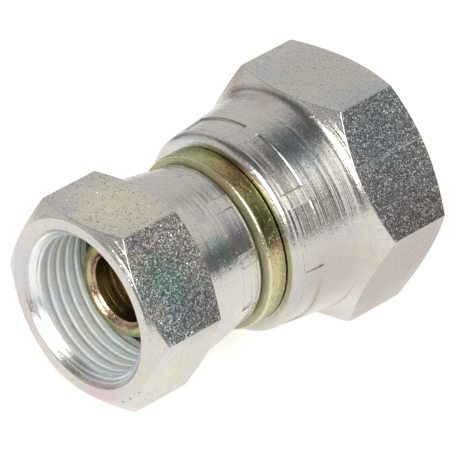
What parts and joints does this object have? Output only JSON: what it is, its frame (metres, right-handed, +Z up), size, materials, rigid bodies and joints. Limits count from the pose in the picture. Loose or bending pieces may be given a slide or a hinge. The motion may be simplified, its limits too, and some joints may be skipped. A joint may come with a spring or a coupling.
{
  "type": "female pipe union",
  "caption": "Straight pipe union: a turned body with a cone nose at each end, held by crimped skirts in swivelling hexagon nuts with G3/8 and G1/2 female threads.",
  "frame": {"origin": "middle of the underside of the fitting's box, on the surface that it lies on", "axes": "+X from the small nut towards the large nut along the surface, +Z up. The fitting lies on one flat of each hexagon, so its own axis is in the XZ plane, 4.62 degrees up from +X"},
  "size_m": [0.0432, 0.0312, 0.0277],
  "materials": {
    "yellow_zinc": "turned steel, zinc plated, yellow passivated",
    "bright_zinc": "turned and drawn steel, zinc plated, clear passivated, satin"
  },
  "bodies": {
    "body": {"body": "yellow_zinc"},
    "small_nut": {"small_nut": "bright_zinc"},
    "large_nut": {"large_nut": "bright_zinc"}
  },
  "joints": [
    {"name": "small_nut_swivel", "type": "hinge", "parent": "body", "child": "small_nut", "pos_m": [-0.0118, 0, 0.01167], "axis": [0.9967, 0, 0.0806], "continuous": true},
    {"name": "large_nut_swivel", "type": "hinge", "parent": "body", "child": "large_nut", "pos_m": [0.01028, 0, 0.01345], "axis": [0.9967, 0, 0.0806], "continuous": true}
  ]
}
